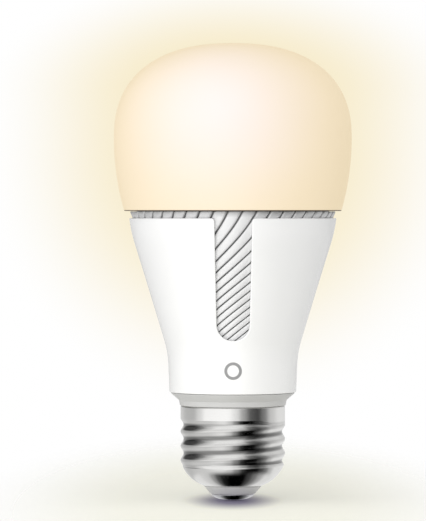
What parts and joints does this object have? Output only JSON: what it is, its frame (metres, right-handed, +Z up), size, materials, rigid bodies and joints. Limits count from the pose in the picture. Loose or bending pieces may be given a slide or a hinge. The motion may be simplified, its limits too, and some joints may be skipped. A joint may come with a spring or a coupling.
{
  "type": "led light bulb",
  "caption": "Wireless LED light bulb with a squarish frosted dome, twisted cooling ribs seen through windows in a white skirt, and an E26 screw base.",
  "frame": {"origin": "lowest point of the centre contact, on the bulb's axis", "axes": "+Z up along the bulb's axis, from the screw base towards the dome; -Y is the front, where the first cooling window faces"},
  "size_m": [0.06, 0.06, 0.115],
  "materials": {
    "diffuser": "satin",
    "silicone": "matte",
    "heat_sink": "satin",
    "housing": "gloss",
    "case": "satin",
    "plated_metal": "polished",
    "insulator": "satin",
    "contact": "satin",
    "board_white": "matte",
    "thermal_pad": "matte",
    "led_body": "satin",
    "phosphor": "satin",
    "screw_steel": "satin",
    "connector_white": "satin",
    "radio_board": "satin",
    "driver_board": "satin",
    "shield": "satin",
    "black_plastic": "matte",
    "gold_plate": "polished",
    "tinned": "satin",
    "can": "satin",
    "sleeve": "satin",
    "ferrite": "matte",
    "bobbin": "satin",
    "yellow_tape": "satin",
    "copper": "satin",
    "film_cap": "satin",
    "chip_body": "matte",
    "resistor_body": "matte",
    "wire_black": "satin",
    "wire_white": "satin",
    "potting": "matte"
  },
  "bodies": {
    "root": {"diffuser": "diffuser", "diffuser_adhesive": "silicone", "heat_sink": "heat_sink", "housing_shell": "housing", "driver_case": "case", "screw_shell": "plated_metal", "base_insulator": "insulator", "tip_contact": "contact", "led_board": "board_white", "thermal_pad": "thermal_pad", "led_packages": "led_body", "led_phosphors": "phosphor", "board_screws": "screw_steel", "board_connector": "connector_white", "radio_board": "radio_board", "radio_shield": "shield", "radio_chip": "black_plastic", "antenna": "gold_plate", "radio_header": "black_plastic", "driver_board": "driver_board", "header_block": "black_plastic", "header_pins": "gold_plate", "input_capacitor_can": "can", "input_capacitor_sleeve": "sleeve", "output_capacitor_can": "can", "output_capacitor_sleeve": "sleeve", "transformer_core": "ferrite", "transformer_bobbin": "bobbin", "transformer_winding": "yellow_tape", "choke_core": "ferrite", "choke_winding": "copper", "film_capacitor": "film_cap", "bridge_rectifier": "black_plastic", "driver_chip": "black_plastic", "chip_parts": "chip_body", "fuse_resistor": "resistor_body", "component_leads": "tinned", "live_wire": "wire_black", "neutral_wire": "wire_white", "potting": "potting"}
  },
  "joints": []
}
